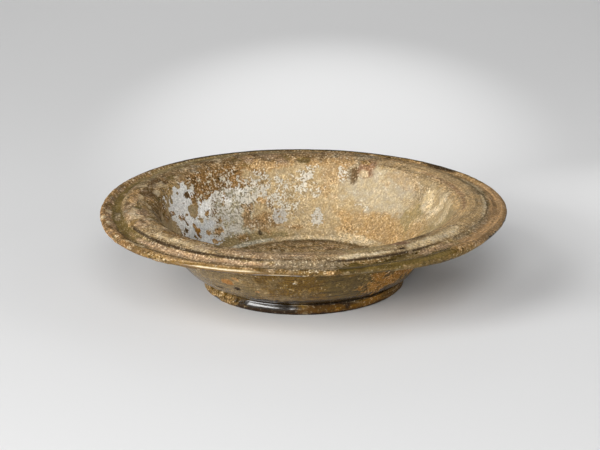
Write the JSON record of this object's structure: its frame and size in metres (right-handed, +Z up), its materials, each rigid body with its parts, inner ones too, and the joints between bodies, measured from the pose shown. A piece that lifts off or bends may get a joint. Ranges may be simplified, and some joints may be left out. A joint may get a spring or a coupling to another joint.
{
  "type": "glass bowl",
  "caption": "Shallow round glass bowl with a broad convex brim, channelled edge and beaded lip, standing on a low coil foot.",
  "frame": {"origin": "middle of the foot, on the surface the bowl stands on", "axes": "+Z up along the axis of the bowl; +X and +Y are level and interchangeable"},
  "size_m": [0.25, 0.25, 0.0531],
  "materials": {
    "weathered_body_glass": "olive glass under a tan and white weathering crust, satin",
    "weathered_foot_glass": "thick olive-brown glass, glossy between patches of tan crust"
  },
  "bodies": {
    "root": {"bowl_body": "weathered_body_glass", "foot_ring": "weathered_foot_glass"}
  },
  "joints": []
}
